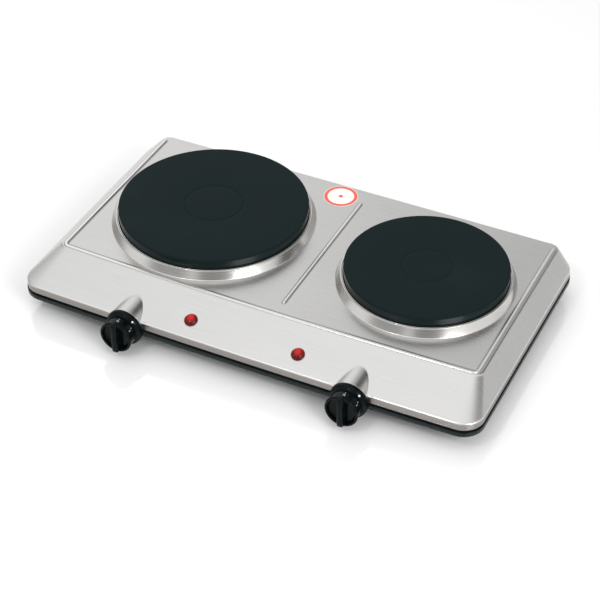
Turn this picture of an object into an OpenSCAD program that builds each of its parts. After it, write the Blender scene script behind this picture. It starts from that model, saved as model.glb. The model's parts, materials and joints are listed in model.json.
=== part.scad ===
// Double hot plate with two cast-iron plates, two thermostats and a pressed steel cover.
// Millimetres, +Z up. The origin is on the table, under the middle of the whole object.
// +X is the user's right and -Y is the front, where the knobs are.

/* [Body] */
// Width over the skirt
body_w = 464; // [450:1:600]
// Depth over the skirt at its corners
body_d = 259; // [252:1:340]
// How far the front edge bows out at its middle
front_bow = 3; // [1:0.5:6]
// Corner radius of the skirt, seen from above
body_corner_r = 20; // [16:1:26]
// Thickness of the cover's steel sheet
sheet = 0.8; // [0.6:0.1:1.2]
// Height of the base lip above the table
lip_z = 18; // [16:1:26]
// Height of the black lip round the base
lip_h = 4.5; // [3:0.5:6]
// How far the lip stands out past the skirt
lip_out = 0.6; // [0:0.1:1.5]
// Shadow gap between the lip and the skirt
gap_h = 2; // [1:0.5:4]
// Height of the upright skirt
skirt_h = 7.5; // [5:0.5:12]
// Rise of the side bevels and the control panel
bevel_h = 16.6; // [14:0.2:24]
// Width of the bevel at each end
side_inset = 15.2; // [10:0.2:20]
// Width of the bevel along the rear
rear_inset = 2.5; // [1.5:0.5:6]
// Depth of the sloping control panel
panel_depth = 46.5; // [44:0.5:52]

/* [Deck] */
// Bow of the deck's front edge
deck_bow = 4; // [1:0.5:6]
// Corner radius of the deck
deck_corner_r = 10; // [8:0.5:14]
// Width of the raised bead round the deck
bead_w = 4; // [2.5:0.5:6]
// Height of the raised beads
bead_h = 0.8; // [0.4:0.1:1.2]
// Distance from the deck's edge to the bead's outer side
bead_inset = 3; // [2:0.5:4]
// Distance from the deck's front edge to the bead
bead_front_inset = 1; // [0.5:0.1:1.5]
// Length of the straight bead between the plates
divider_l = 169; // [120:1:180]
// Diameter of the heat label
label_d = 34; // [24:1:34]

/* [Hot plates] */
// Diameter of the large plate
large_d = 185; // [150:1:185]
// Diameter of the small plate
small_d = 155; // [145:1:160]
// Deck left clear at the end beside the large ring
large_margin = 13.7; // [12:0.1:20]
// Deck left clear at the end beside the small ring
small_margin = 11; // [10:0.1:20]
// Height of the cooking surface above the deck
plate_stand = 17.6; // [16:0.2:22]
// Height of the plate's rim
plate_h = 13.2; // [12:0.2:15]
// Thickness of the cooking surface
plate_t = 6; // [5:0.5:7]
// Width of the plate's rim
rim_w = 5.5; // [4:0.5:7]
// How far the trim ring reaches past the plate
ring_reach = 7.5; // [6:0.5:9]
// Height of the trim ring above the deck
ring_h = 8.4; // [7:0.2:10]

/* [Controls] */
// Distance of each knob from the middle
knob_x = 114.2; // [100:0.2:130]
// Height of the knob's axis
knob_z = 23.4; // [23:0.2:25]
// Diameter of the knob
knob_d = 32.4; // [28:0.2:33]
// Depth of the knob, without its grip
knob_depth = 11.4; // [10:0.2:14]
// Width of the grip bar
grip_w = 6.4; // [5:0.2:8]
// How far the grip bar stands out of the knob
grip_h = 3.2; // [2:0.2:5]
// Outer diameter of the round bosses in the control panel
boss_d = 34.6; // [34:0.2:36]
// Diameter of the collar behind each knob
collar_d = 37.2; // [36.6:0.2:39]
// Length of the collar in front of the boss
collar_h = 7.2; // [6:0.2:9]
// Diameter of the control shafts
shaft_d = 6; // [5:0.5:6]
// Radial play of a control shaft in its bearing
shaft_play = 0.05; // [0.02:0.01:0.1]
// Distance of each pilot lamp from the middle
lamp_x = 54.5; // [40:0.5:70]
// Diameter of the pilot lamp's lens
lens_d = 12.8; // [11:0.2:14]

/* [Fixings] */
// Width of the square thermostat body
stat_w = 21; // [18:0.5:21]
// Length of the thermostat body
stat_l = 22; // [20:0.5:26]
// Diameter of the feet
foot_d = 20; // [16:1:24]
// Height of the feet below the base
foot_h = 6; // [5:0.5:7]
// Bore of the cord gland
gland_bore = 7.4; // [6:0.1:8]
// Diameter of the studs that hold the plates
stud_d = 6; // [5:0.5:6]

/* [Hidden] */

$fn = 96;
sliver = 0.01;
fit = 0.1;
front_steps = 24;
corner_steps = 8;
half_w = body_w / 2;
boss_out = 1.3;
knob_gap = 0.5;
gland_out = 3.5;
knob_reach = boss_out + collar_h + knob_gap + knob_depth + grip_h - bowed(knob_x, half_w, 0, front_bow);
front_y = (knob_reach - gland_out - body_d) / 2;
rear_y = front_y + body_d;
mid_y = (front_y + rear_y) / 2;
hem_z = lip_z + lip_h + gap_h;
crease_z = hem_z + skirt_h;
deck_z = crease_z + bevel_h;
under_deck_z = deck_z - sheet;
deck_half = half_w - side_inset;
deck_front = front_y + panel_depth;
deck_rear = rear_y - rear_inset;
edge_round = 1.2;
large_r = large_d / 2;
small_r = small_d / 2;
large_x = -deck_half + large_margin + ring_reach + large_r;
small_x = deck_half - small_margin - ring_reach - small_r;
plate_y = (deck_front - deck_bow + deck_rear) / 2 + 1.8;
divider_x = (large_x + large_r + small_x - small_r) / 2;

// Base pan
pan_t = 1.2;
ledge_in = 3.5;
tray_in = 10;
tray_floor_in = 20;
floor_z = foot_h + pan_t;
flange_t = 0.8;
flange_w = 11;
screw_in = 7;
screw_d = 3.5;
pillar_r = 5;
foot_in = 42;

// Plate stack, from the cooking surface down
plate_top_z = deck_z + plate_stand;
plate_low_z = plate_top_z - plate_h;
plate_web_z = plate_top_z - plate_t;
backing_t = 0.8;
backing_z = plate_low_z + 0.6;
insulation_z = backing_z + backing_t;
coil_r = 2;
coil_z = (insulation_z + plate_web_z) / 2;
ring_ledge_w = 6;
boss_core_r = 10;
bar_t = 2.5;
bar_w = 20;
bar_z = under_deck_z - bar_t;
bar_over = 7.5;
washer_t = 1.2;
nut_t = 5;
stud_low_z = bar_z - washer_t - nut_t - 2;
pin_r = 0.8;
pin_low_z = bar_z - 3;
bush_h = 2;
shield_z = crease_z;
shield_t = 0.6;
shield_w = 404;
shield_front = mid_y - 74;
shield_rear = mid_y + 100;
post_r = 4;
cutout_place = [30, -30];
cutout_r = 8;

// Controls
boss_r = boss_d / 2;
tunnel_r = boss_r - 2;
boss_front_y = front_edge(knob_x) - boss_out;
collar_r = collar_d / 2;
spigot_l = 7;
collar_front_y = boss_front_y - collar_h;
knob_r = knob_d / 2;
knob_rear_y = collar_front_y - knob_gap;
dish = 3.8;
knob_web = 1.8;
hub_r = 5.4;
clip_t = 0.6;
shaft_in = 9;
bracket_t = 1.2;
stat_front_y = boss_front_y + spigot_l + bracket_t;
shaft_rear_y = stat_front_y + 8;
shaft_front_y = knob_rear_y - shaft_in;
flat_depth = 1.5;
lamp_share = 0.39;
lamp_y = panel_front(lamp_x) * (1 - lamp_share) + panel_back(lamp_x) * lamp_share;
lens_barrel_r = 4.8;
neon_r = 2.8;

// Rear and wiring
gland_x = divider_x;
gland_z = (hem_z + deck_z) / 2 - 1.8;
gland_r = gland_bore / 2 + 2.5;
gland_head_r = gland_r + 2.4;
gland_chamfer = 2;
gland_in = 17;
block_w = 36;
block_d = 20;
block_h = 14;
block_y = mid_y + 70;
block_pole = 12;
block_hole_lift = 8;
earth_out = 34;
lead_r = 1.2;
lead_z = floor_z + 4;

// ---- Shared shapes ----

// Radius of the arc that bows out by bow over a width of two half_w
function bow_radius(half, bow) = (half * half + bow * bow) / (2 * bow);

function arc(cx, cy, r, a0, a1, first, last, steps) =
    [for (i = [first:last]) let (a = a0 + (a1 - a0) * i / steps) [cx + r * cos(a), cy + r * sin(a)]];

// Closed outline, seen from above: bowed front, straight sides and rear, round corners
function footprint(half, front, rear, r, bow) =
    let (big = bow_radius(half, bow),
        cy = front - bow + big,
        fy = cy - sqrt(pow(big - r, 2) - pow(half - r, 2)),
        tilt = asin((half - r) / (big - r)))
    concat(
        arc(0, cy, big, 270 - tilt, 270 + tilt, 1, front_steps - 1, front_steps),
        arc(half - r, fy, r, 270 + tilt, 360, 0, corner_steps, corner_steps),
        arc(half - r, rear - r, r, 0, 90, 0, corner_steps, corner_steps),
        arc(r - half, rear - r, r, 90, 180, 0, corner_steps, corner_steps),
        arc(r - half, fy, r, 180, 270 - tilt, 0, corner_steps, corner_steps));

// The skirt's outline, moved in by inset
function body_outline(inset) =
    footprint(half_w - inset, front_y + inset, rear_y - inset, max(body_corner_r - inset, 4), front_bow);

// The deck's outline, moved in by inset
function deck_outline(inset) =
    footprint(deck_half - inset, deck_front + inset, deck_rear - inset, max(deck_corner_r - inset, 4), deck_bow);

// Front of a bowed outline at a distance x from the middle
function bowed(x, half, front, bow) =
    front - bow + bow_radius(half, bow) - sqrt(pow(bow_radius(half, bow), 2) - x * x);
function front_edge(x) = bowed(x, half_w, front_y, front_bow);
function panel_front(x) = front_edge(x);
function panel_back(x) = bowed(x, deck_half, deck_front, deck_bow);
function panel_run(x) = panel_back(x) - panel_front(x) + edge_round;
function panel_tilt(x) = atan(bevel_h / panel_run(x));
function panel_z(x, y) =
    crease_z + bevel_h * (y - panel_front(x)) / panel_run(x);

// Places of the cover screws, feet and shield posts
screw_places = concat(
    [for (x = [-190, -50, 50, 190]) [x, front_edge(x) + screw_in]],
    [for (x = [-1, 1], y = [0.12, 0.62])
        [x * (half_w - screw_in), rear_y - screw_in - y * (body_d - 2 * body_corner_r)]],
    [for (x = [-150, -55, 75, 160]) [x, rear_y - screw_in]]);
foot_places = [for (y = [front_y + foot_in, rear_y - foot_in], x = [foot_in - half_w, half_w - foot_in]) [x, y]];
post_places = [[-170, shield_front + 12], [-170, shield_rear - 16], [divider_x, shield_front + 12],
    [divider_x - 40, shield_rear - 16], [170, shield_front + 12], [170, shield_rear - 16]];

// Where the two ends of a plate's heating coil turn down, from the plate's centre
function pin_places(first, pitch, turns) = [[first, 0], [-(first + floor((turns - 1) / 2) * pitch), 0]];

module slab(points) {
    linear_extrude(sliver) polygon(points);
}

// Turns a shape built along +Z so that it points to the front, at a knob's axis
module to_front(side, y) {
    translate([side * knob_x, y, knob_z]) rotate([90, 0, 0]) children();
}

// Places a shape on the control panel, square to its slope
module on_panel(side) {
    translate([side * lamp_x, lamp_y, panel_z(lamp_x, lamp_y) + 2 * sliver])
        rotate([panel_tilt(lamp_x), 0, 0]) children();
}

module tube(r_out, r_in, h) {
    difference() {
        cylinder(r = r_out, h = h);
        translate([0, 0, -1]) cylinder(r = r_in, h = h + 2);
    }
}

// Straight bar with round ends, between two points seen from above
module stadium(a, b, w) {
    run = b - a;
    translate(a) circle(d = w);
    translate(b) circle(d = w);
    translate(a) rotate(atan2(run[1], run[0])) translate([0, -w / 2]) square([norm(run), w]);
}

// ---- Cover and base ----

// Solid under the bevels, control panel and deck, moved in and down for the inside
module cover_form(inset) {
    hull() {
        translate([0, 0, crease_z - inset]) slab(body_outline(inset));
        translate([0, 0, deck_z - edge_round - inset]) slab(deck_outline(inset));
        translate([0, 0, deck_z - sliver - inset]) slab(deck_outline(inset + edge_round));
    }
}

module boss_round(side, r, y, length) {
    low = hem_z - knob_z;
    intersection() {
        to_front(side, y + length) cylinder(r = r, h = length);
        translate([side * knob_x - r, y, knob_z + low]) cube([2 * r, length, r]);
    }
}

module deck_beads() {
    outer = bead_inset;
    inner = bead_inset + bead_w;
    end_y = deck_rear - 9;
    mid_x = deck_half - (outer + inner) / 2;
    translate([0, 0, deck_z - sliver]) linear_extrude(bead_h + sliver) {
        intersection() {
            difference() {
                polygon(footprint(deck_half - outer, deck_front + bead_front_inset, deck_rear + 40,
                    deck_corner_r - 1, deck_bow));
                polygon(footprint(deck_half - inner, deck_front + bead_front_inset + bead_w, deck_rear + 50,
                    deck_corner_r - 3, deck_bow));
            }
            translate([-half_w, front_y]) square([body_w, end_y - front_y]);
        }
        for (x = [-mid_x, mid_x]) translate([x, end_y]) circle(d = bead_w);
        stadium([divider_x, plate_y - divider_l / 2 - 3], [divider_x, plate_y + divider_l / 2 - 3], bead_w);
    }
}

module cover_shell() {
    difference() {
        union() {
            cover_form(0);
            translate([0, 0, hem_z]) linear_extrude(skirt_h + sliver) polygon(body_outline(0));
            deck_beads();
            for (side = [-1, 1]) {
                boss_round(side, boss_r, boss_front_y, 36);
                boss_round(side, boss_r + 0.9, boss_front_y, 1);
            }
        }
        cover_form(sheet);
        translate([0, 0, hem_z - 1]) linear_extrude(skirt_h + 1 - sheet + sliver) polygon(body_outline(sheet));
        for (side = [-1, 1]) to_front(side, boss_front_y + 36) cylinder(r = boss_r - sheet, h = 40);
    }
}

module hem_flange() {
    translate([0, 0, hem_z]) linear_extrude(flange_t) difference() {
        polygon(body_outline(sheet / 2));
        polygon(body_outline(flange_w));
        for (side = [-1, 1]) translate([side * knob_x - boss_r - 1, front_y - 10]) square([boss_d + 2, 40]);
        for (place = screw_places) translate(place) circle(d = screw_d - 0.2);
    }
}

module top_cover() {
    color("silver") union() {
        difference() {
            cover_shell();
            for (p = [[large_x, large_r], [small_x, small_r]]) {
                translate([p[0], plate_y, deck_z - 10]) cylinder(r = p[1] - ring_ledge_w + sheet + 0.3, h = 20);
            }
            for (side = [-1, 1]) on_panel(side) translate([0, 0, -8]) cylinder(r = lens_barrel_r + fit, h = 16);
            translate([gland_x, rear_y - 12, gland_z]) rotate([-90, 0, 0]) cylinder(r = gland_r + fit, h = 20);
        }
        hem_flange();
    }
}

module pan_form(inset, low_z, top_z) {
    hull() {
        translate([0, 0, top_z - sliver]) slab(body_outline(tray_in + inset));
        translate([0, 0, low_z]) slab(body_outline(tray_floor_in + inset));
    }
}

// Rows of cooling slots in the floor of the pan, seen from above
module vent_slots() {
    for (x = [-152, -104, -56, 88, 136], y = [-36:12:60]) stadium([x, mid_y + y], [x + 30, mid_y + y], 4);
}

module base_pan() {
    color("#151a1a") difference() {
        union() {
            translate([0, 0, lip_z]) linear_extrude(lip_h) polygon(body_outline(-lip_out));
            translate([0, 0, lip_z + lip_h - sliver]) linear_extrude(gap_h + sliver) polygon(body_outline(1.5));
            pan_form(0, foot_h, lip_z + pan_t);
            for (side = [-1, 1]) intersection() {
                to_front(side, boss_front_y + 30) cylinder(r = boss_r - 0.5, h = 30);
                translate([side * knob_x - boss_r, boss_front_y, 0]) cube([boss_d, 30, hem_z]);
            }
        }
        difference() {
            translate([0, 0, lip_z + pan_t]) linear_extrude(20) polygon(body_outline(ledge_in));
            for (place = screw_places) translate([place[0], place[1], 0]) cylinder(r = pillar_r, h = hem_z);
        }
        difference() {
            pan_form(pan_t, floor_z, lip_z + pan_t + sliver);
            for (place = post_places) translate([place[0], place[1], 0]) cylinder(r = post_r, h = shield_z);
        }
        for (side = [-1, 1]) to_front(side, boss_front_y + 22) cylinder(r = tunnel_r, h = 30);
        for (place = screw_places) translate([place[0], place[1], lip_z - 1]) {
            cylinder(d = screw_d + 2 * fit, h = 20);
            cylinder(d = 2 * screw_d + 2 * fit, h = 3.4);
        }
        for (place = foot_places) translate([place[0], place[1], 0]) cylinder(r = 3, h = floor_z + 1);
        translate([0, 0, foot_h - 1]) linear_extrude(pan_t + 2) vent_slots();
    }
    color("#151a1a") for (place = post_places) translate([place[0], place[1], floor_z - sliver]) {
        tube(post_r, 1.3, shield_z - floor_z + sliver);
    }
}

module heat_shield() {
    color("gainsboro") translate([0, 0, shield_z]) linear_extrude(shield_t) difference() {
        translate([-shield_w / 2, shield_front]) square([shield_w, shield_rear - shield_front]);
        for (place = post_places) translate(place) circle(r = 1.7);
        for (p = [[large_x, -1], [small_x, 1]]) translate([p[0], plate_y - 56]) circle(r = 7);
        for (p = [[large_x, -1], [small_x, 1]]) translate([p[0], plate_y + 56]) circle(r = 7);
    }
}

module foot(place) {
    color("#202020") translate([place[0], place[1], 0]) {
        rotate_extrude() polygon([[0, 0], [foot_d / 2 - 1.5, 0], [foot_d / 2 - 0.6, 0.6], [foot_d / 2, foot_h],
            [2.9, foot_h], [2.9, floor_z], [4.4, floor_z], [4, floor_z + 1.4], [2.4, floor_z + 2.6], [0, floor_z + 2.6]]);
    }
}

module cover_screws() {
    color("#3a3a3a") for (place = screw_places) translate([place[0], place[1], lip_z + 0.4]) {
        cylinder(d = 2 * screw_d, h = 2);
        cylinder(d = screw_d - 0.4, h = hem_z - lip_z + 4);
    }
}

module shield_screws() {
    color("#8a8a8a") for (place = post_places) translate([place[0], place[1], shield_z]) {
        translate([0, 0, shield_t]) cylinder(r = 2.8, h = 2);
        translate([0, 0, -8]) cylinder(r = 1.25, h = 8 + shield_t + sliver);
    }
}

module heat_label() {
    color("white") translate([divider_x - 23, deck_rear - 20, deck_z]) cylinder(d = label_d, h = 0.3);
}

// ---- Hot plates ----

// Spiral made of half circles: each is half a pitch larger, about one of two centres
module spiral(first, pitch, turns, r) {
    for (k = [0:turns - 1]) {
        odd = k % 2;
        translate([odd * pitch / 2, 0, 0]) rotate([0, 0, odd * 180]) {
            rotate_extrude(angle = 180) translate([first + k * pitch / 2, 0]) circle(r = r, $fn = 24);
        }
    }
}

module hot_plate(x, r) {
    color("#242f2f") translate([x, plate_y, 0]) difference() {
        rotate_extrude($fn = 180) polygon([[0, plate_top_z - 0.5], [1.2, plate_top_z - 0.5], [2, plate_top_z],
            [r * 0.308 - 0.8, plate_top_z], [r * 0.308 - 0.4, plate_top_z - 0.4], [r * 0.308, plate_top_z],
            [r - 1.4, plate_top_z], [r - 0.4, plate_top_z - 0.4], [r, plate_top_z - 1.4],
            [r, plate_low_z], [r - rim_w, plate_low_z], [r - rim_w, plate_web_z],
            [boss_core_r, plate_web_z], [boss_core_r, insulation_z], [0, insulation_z]]);
        translate([0, 0, insulation_z - 1]) cylinder(d = stud_d, h = plate_web_z - insulation_z + 2);
    }
}

module trim_ring(x, r) {
    near = r + 0.4;
    tail_r = r - ring_ledge_w;
    ledge_z = plate_low_z - deck_z;
    color("gainsboro") translate([x, plate_y, deck_z]) rotate_extrude($fn = 180) polygon([
        [near, ring_h], [near, ledge_z], [tail_r, ledge_z], [tail_r, -sheet], [tail_r + sheet, -sheet],
        [tail_r + sheet, ledge_z - sheet], [near + sheet, ledge_z - sheet], [near + sheet, ring_h - sheet],
        [r + ring_reach - 4.4, 2], [r + ring_reach - 0.8, 0], [r + ring_reach, 0], [r + ring_reach - 0.3, 0.9],
        [r + ring_reach - 3, 2], [r + ring_reach - 5.4, ring_h - 0.6], [r + ring_reach - 6, ring_h]]);
}

module heating_coil(x, first, pitch, turns) {
    color("#9a8f80") translate([x, plate_y, 0]) {
        translate([0, 0, coil_z]) spiral(first, pitch, turns, coil_r);
        for (p = pin_places(first, pitch, turns)) {
            translate([p[0], p[1], pin_low_z]) cylinder(r = pin_r, h = coil_z - pin_low_z);
        }
    }
}

module coil_insulation(x, r, first, pitch, turns) {
    color("#cfc8ba") translate([x, plate_y, 0]) difference() {
        translate([0, 0, insulation_z]) cylinder(r = r - rim_w - fit, h = plate_web_z - insulation_z);
        translate([0, 0, insulation_z - 1]) cylinder(r = boss_core_r + fit, h = 20);
        translate([0, 0, coil_z]) spiral(first, pitch, turns, coil_r + fit);
        for (p = pin_places(first, pitch, turns)) {
            translate([p[0], p[1], insulation_z - 1]) cylinder(r = pin_r + fit, h = coil_z - insulation_z + 1);
        }
    }
}

module plate_backing(x, r, first, pitch, turns) {
    color("#b9bdbd") translate([x, plate_y, backing_z]) linear_extrude(backing_t) difference() {
        circle(r = r - rim_w - fit);
        circle(d = stud_d + 2 * fit);
        for (p = pin_places(first, pitch, turns)) translate(p) circle(r = 3.5 + fit);
    }
}

module terminal_bushes(x, first, pitch, turns) {
    color("ivory") for (p = pin_places(first, pitch, turns)) translate([x + p[0], plate_y + p[1], 0]) difference() {
        union() {
            translate([0, 0, backing_z - bush_h]) cylinder(r = 5, h = bush_h);
            translate([0, 0, backing_z - sliver]) cylinder(r = 3.5, h = backing_t + sliver);
        }
        translate([0, 0, backing_z - bush_h - 1]) cylinder(r = pin_r + fit, h = bush_h + backing_t + 2);
    }
}

module plate_stud(x) {
    color("#8a8a8a") translate([x, plate_y, stud_low_z]) cylinder(d = stud_d, h = plate_web_z - stud_low_z - 0.5);
}

module plate_spacers() {
    color("#a0a4a4") for (x = [large_x, small_x]) translate([x, plate_y, bar_z + bar_t]) {
        tube(stud_d / 2 + 2, stud_d / 2 + fit, backing_z - bar_z - bar_t);
    }
}

module clamp_bar(x, r) {
    half = r - ring_ledge_w + bar_over;
    color("#a0a4a4") translate([x, plate_y, bar_z]) linear_extrude(bar_t) difference() {
        stadium([0, -half + bar_w / 2], [0, half - bar_w / 2], bar_w);
        circle(d = stud_d + 2 * fit);
    }
}

module clamp_washers() {
    color("#b0b0b0") for (x = [large_x, small_x]) translate([x, plate_y, bar_z - washer_t]) {
        tube(stud_d, stud_d / 2 + fit, washer_t);
    }
}

module clamp_nuts() {
    color("#9a9a9a") for (x = [large_x, small_x]) translate([x, plate_y, bar_z - washer_t - nut_t]) difference() {
        cylinder(r = stud_d * 0.96, h = nut_t, $fn = 6);
        translate([0, 0, -1]) cylinder(d = stud_d, h = nut_t + 2);
    }
}

// Snap-disc cut-out held under the plate's backing
module thermal_cutout(x) {
    color("#c9b48a") translate([x + cutout_place[0], plate_y + cutout_place[1], 0]) {
        translate([0, 0, backing_z - 2]) cylinder(r = cutout_r, h = 2);
        translate([0, 0, backing_z - 8]) cylinder(r = cutout_r - 1.5, h = 6 + sliver);
        for (s = [-1, 1]) translate([s * 4.5 - 1.5, -0.4, backing_z - 12]) cube([3, 0.8, 4 + sliver]);
    }
}

// ---- Controls ----

module control_shaft(side) {
    color("#b5b5b5") to_front(side, shaft_rear_y) difference() {
        cylinder(d = shaft_d, h = shaft_rear_y - shaft_front_y);
        translate([-shaft_d, shaft_d / 2 - flat_depth, shaft_rear_y - knob_rear_y]) {
            cube([2 * shaft_d, shaft_d, shaft_in + 1]);
        }
    }
}

// Hole for the flatted end of the shaft
module shaft_socket(play) {
    difference() {
        translate([0, 0, -1]) cylinder(d = shaft_d + 2 * play, h = shaft_in + 1 + play);
        translate([-shaft_d, shaft_d / 2 - flat_depth + play, -2]) cube([2 * shaft_d, shaft_d, shaft_in + 4]);
    }
}

module knob(side) {
    rear_cavity = knob_depth - dish - knob_web;
    color("#1c2222") to_front(side, knob_rear_y) difference() {
        union() {
            rotate_extrude($fn = 128) polygon([[0, rear_cavity], [knob_r - 2, rear_cavity], [knob_r - 2, 0],
                [knob_r - 0.3, 0], [knob_r, 0.6], [knob_r, knob_depth - 1.6], [knob_r - 0.5, knob_depth - 0.5],
                [knob_r - 1.4, knob_depth], [knob_r - 2.2, knob_depth], [knob_r - 3, knob_depth - dish],
                [0, knob_depth - dish]]);
            cylinder(r = hub_r, h = knob_depth - dish - sliver);
            translate([-grip_w / 2, -knob_r - 0.2, knob_depth - dish - 0.4]) {
                cube([grip_w, knob_d + 0.4, dish + grip_h + 0.4]);
            }
        }
        shaft_socket(shaft_play);
    }
}

module knob_clip(side) {
    color("#b0b0b0") to_front(side, knob_rear_y) translate([0, 0, 0.8]) difference() {
        tube(hub_r + fit + clip_t, hub_r + fit, 3);
        translate([-1.2, 0, -1]) cube([2.4, 10, 5]);
    }
}

module knob_collar(side) {
    dome = [for (a = [0:15:75])
        [collar_r - (collar_r - knob_r - 0.3) * (1 - cos(a)), 2.2 + (collar_h - 2.2) * sin(a)]];
    color("#121616") to_front(side, boss_front_y) difference() {
        rotate_extrude($fn = 128) polygon(concat(
            [[shaft_d / 2 + 0.4, -spigot_l], [tunnel_r - fit, -spigot_l], [tunnel_r - fit, 0], [collar_r - 0.4, 0],
            [collar_r, 0.4]],
            dome,
            [[knob_r - 0.6, collar_h], [12, collar_h], [12, collar_h - 3], [shaft_d / 2 + 0.4, collar_h - 3]]));
        for (s = [-1, 1]) translate([s * 9, 0, -spigot_l - 1]) cylinder(d = 2.6, h = 6);
    }
}

module thermostat(side) {
    half = stat_w / 2;
    color("#d8d2c4") to_front(side, stat_front_y) difference() {
        union() {
            translate([-half, -half, -stat_l]) cube([stat_w, stat_w, stat_l]);
            for (s = [-1, 1]) translate([s * 5 - 3, half - 4, -stat_l - 7]) cube([6, 0.8, 7 + sliver]);
        }
        translate([0, 0, -8]) cylinder(d = shaft_d + 2 * shaft_play, h = 9);
    }
}

module thermostat_bracket(side) {
    color("#aeb2b2") to_front(side, stat_front_y) linear_extrude(bracket_t) difference() {
        intersection() {
            circle(r = tunnel_r - 0.4);
            square([2 * tunnel_r, stat_w], center = true);
        }
        circle(d = shaft_d + 1);
        for (s = [-1, 1]) translate([s * 9, 0]) circle(d = 3);
    }
}

module thermostat_screws() {
    color("#8f8f8f") for (side = [-1, 1], s = [-1, 1]) {
        to_front(side, stat_front_y) translate([s * 9, 0, 0]) cylinder(d = 2.5, h = bracket_t + 4.5);
    }
}

module pilot_lens(side) {
    color("#c01818") on_panel(side) difference() {
        union() {
            rotate_extrude() polygon(concat(
                [[0, 0], [lens_d / 2, 0], [lens_d / 2, 1]],
                [for (a = [10:16:90]) [(lens_d / 2 - 0.6) * cos(a), 1 + 3 * sin(a)]]));
            translate([0, 0, -9]) cylinder(r = lens_barrel_r, h = 9 + sliver);
        }
        translate([0, 0, -10]) cylinder(r = neon_r + fit, h = 11);
    }
}

module neon_lamp(side) {
    color("#e8c8b0") on_panel(side) {
        translate([0, 0, -7]) cylinder(r = neon_r, h = 6);
        translate([0, 0, -1]) sphere(r = 1.6, $fn = 32);
        for (s = [-1, 1]) translate([s * 1.4, 0, -10]) cylinder(r = 0.35, h = 4);
    }
}

module pilot_lens_clips() {
    color("#b0b0b0") for (side = [-1, 1]) on_panel(side) translate([0, 0, -2.2]) {
        tube(7.5, lens_barrel_r, 0.8);
        tube(lens_barrel_r + 0.7, lens_barrel_r, 1);
    }
}

// ---- Supply and wiring ----

module mains_terminal_block() {
    color("ivory") translate([gland_x - block_w / 2, block_y - block_d / 2, floor_z]) difference() {
        cube([block_w, block_d, block_h]);
        for (i = [0:2]) {
            pole_x = (i + 0.5) * block_pole;
            translate([pole_x, -1, block_hole_lift]) rotate([-90, 0, 0]) cylinder(r = 2, h = block_d + 2);
            translate([pole_x, 5, block_hole_lift]) cylinder(r = 2, h = block_h - 4);
        }
        for (i = [1:2]) translate([i * block_pole, block_d / 2, -1]) cylinder(r = 1.7, h = block_h + 2);
    }
}

module terminal_block_screws() {
    color("#9a9a9a") for (i = [-1, 1]) translate([gland_x + i * block_pole / 2, block_y, floor_z]) {
        cylinder(r = 1.5, h = block_h);
        translate([0, 0, block_h]) cylinder(r = 2.8, h = 2);
    }
}

module cord_gland() {
    color("#1a1a1a") translate([gland_x, rear_y, gland_z]) rotate([90, 0, 0]) difference() {
        union() {
            translate([0, 0, -gland_out])
                cylinder(r1 = gland_head_r - gland_chamfer, r2 = gland_head_r, h = gland_chamfer);
            translate([0, 0, gland_chamfer - gland_out]) cylinder(r = gland_head_r, h = gland_out - gland_chamfer);
            translate([0, 0, -1]) cylinder(r = gland_r, h = gland_in + 1);
        }
        translate([0, 0, -gland_out - 1]) cylinder(d = gland_bore, h = gland_out + gland_in + 2);
    }
}

module gland_lock_ring() {
    color("#2a2a2a") translate([gland_x, rear_y - rear_inset - sheet, gland_z]) rotate([90, 0, 0])
        tube(gland_r + 3, gland_r, 3);
}

module earth_stud() {
    color("#c8a850") translate([gland_x + earth_out, block_y + 4, floor_z]) {
        cylinder(r = 2, h = 10);
        cylinder(r = 4, h = 1);
        translate([0, 0, 4]) cylinder(r = 4, h = 3, $fn = 6);
    }
}

function unit(v) = v / norm(v);

// A point on the curve that rounds the corner b between a and c
function rounded(a, b, c, t) = (1 - t) * (1 - t) * a + 2 * t * (1 - t) * b + t * t * c;

// The route with each corner rounded off
function eased(route) = concat([route[0]],
    [for (i = [1:len(route) - 2])
        let (b = route[i],
            before = route[i - 1] - b,
            after = route[i + 1] - b,
            a = b + unit(before) * min(9, norm(before) * 0.45),
            c = b + unit(after) * min(9, norm(after) * 0.45))
        each [for (k = [0:3]) rounded(a, b, c, k / 3)]],
    [route[len(route) - 1]]);

// Insulated wire of eight sides swept along a route
module lead(route, r = lead_r, sides = 8) {
    line = eased(route);
    last = len(line) - 1;
    lean = [0.31, 0.52, 0.8];
    points = [for (i = [0:last])
        let (along = unit(line[min(i + 1, last)] - line[max(i - 1, 0)]),
            across = unit(cross(along, lean)),
            over = cross(along, across))
        each [for (k = [0:sides - 1]) line[i] + r * (across * cos(k * 360 / sides) + over * sin(k * 360 / sides))]];
    walls = [for (i = [0:last - 1], k = [0:sides - 1])
        let (a = i * sides + k, b = i * sides + (k + 1) % sides)
        each [[a, b, b + sides], [a, b + sides, a + sides]]];
    caps = [[for (k = [0:sides - 1]) sides - 1 - k], [for (k = [0:sides - 1]) last * sides + k]];
    polyhedron(points, concat(walls, caps));
}

stat_tag_y = stat_front_y + stat_l + 7.2;
stat_tag_z = knob_z + stat_w / 2 - 3.6;
block_front = block_y - block_d / 2 - 0.2;
block_hole_z = floor_z + block_hole_lift;

module supply_leads() {
    color("#7a3b22") for (side = [-1, 1]) {
        from_x = gland_x - block_pole + side * 1.4;
        lead([[from_x, block_front, block_hole_z], [from_x, block_y - 43 - side * 7, lead_z],
            [side * 60, mid_y - 70, lead_z], [side * (knob_x - 5), mid_y - 80, lead_z + 8],
            [side * (knob_x - 5), stat_tag_y, stat_tag_z]]);
    }
}

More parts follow.
